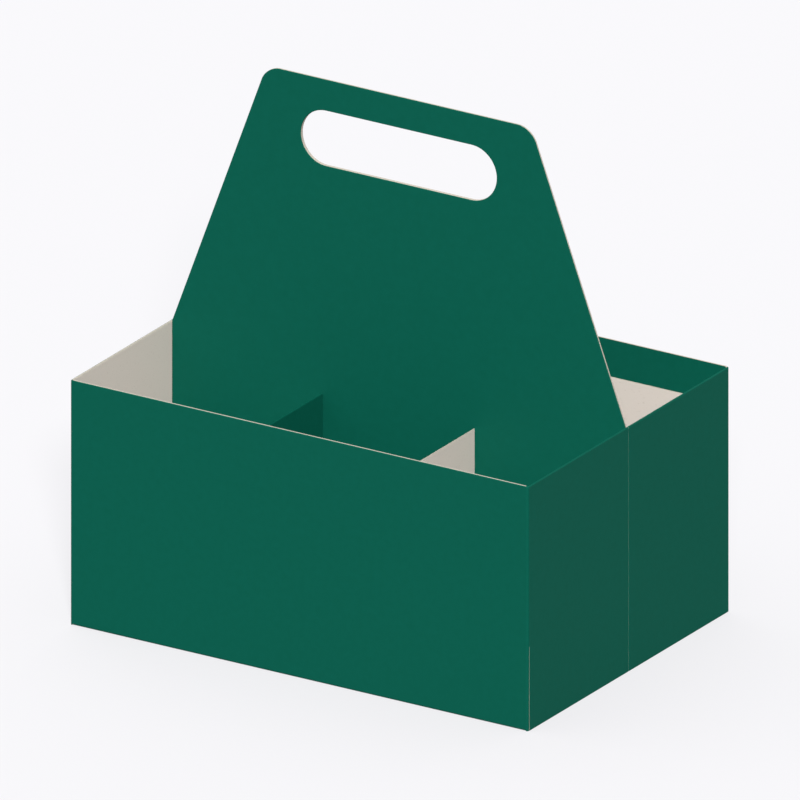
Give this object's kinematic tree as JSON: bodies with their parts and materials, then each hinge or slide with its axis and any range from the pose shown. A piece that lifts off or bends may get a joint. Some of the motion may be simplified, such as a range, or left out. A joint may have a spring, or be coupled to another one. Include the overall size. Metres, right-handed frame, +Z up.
{
  "type": "bottle carrier",
  "caption": "Open folded-board carrier for drinks bottles, with a row of cells on each side of a tall tapered handle that has a rounded hand slot.",
  "frame": {"origin": "middle of the footprint, on the surface that the carrier stands on", "axes": "+X along the three cells of a row, -Y towards the front long wall, +Z up along the handle"},
  "size_m": [0.1996, 0.1404, 0.208],
  "materials": {
    "printed_board": "matte",
    "bare_board": "matte"
  },
  "bodies": {
    "root": {"body": "printed_board", "handle_front_panel": "printed_board", "handle_rear_panel": "printed_board", "left_partition": "bare_board", "right_partition": "bare_board"}
  },
  "joints": []
}
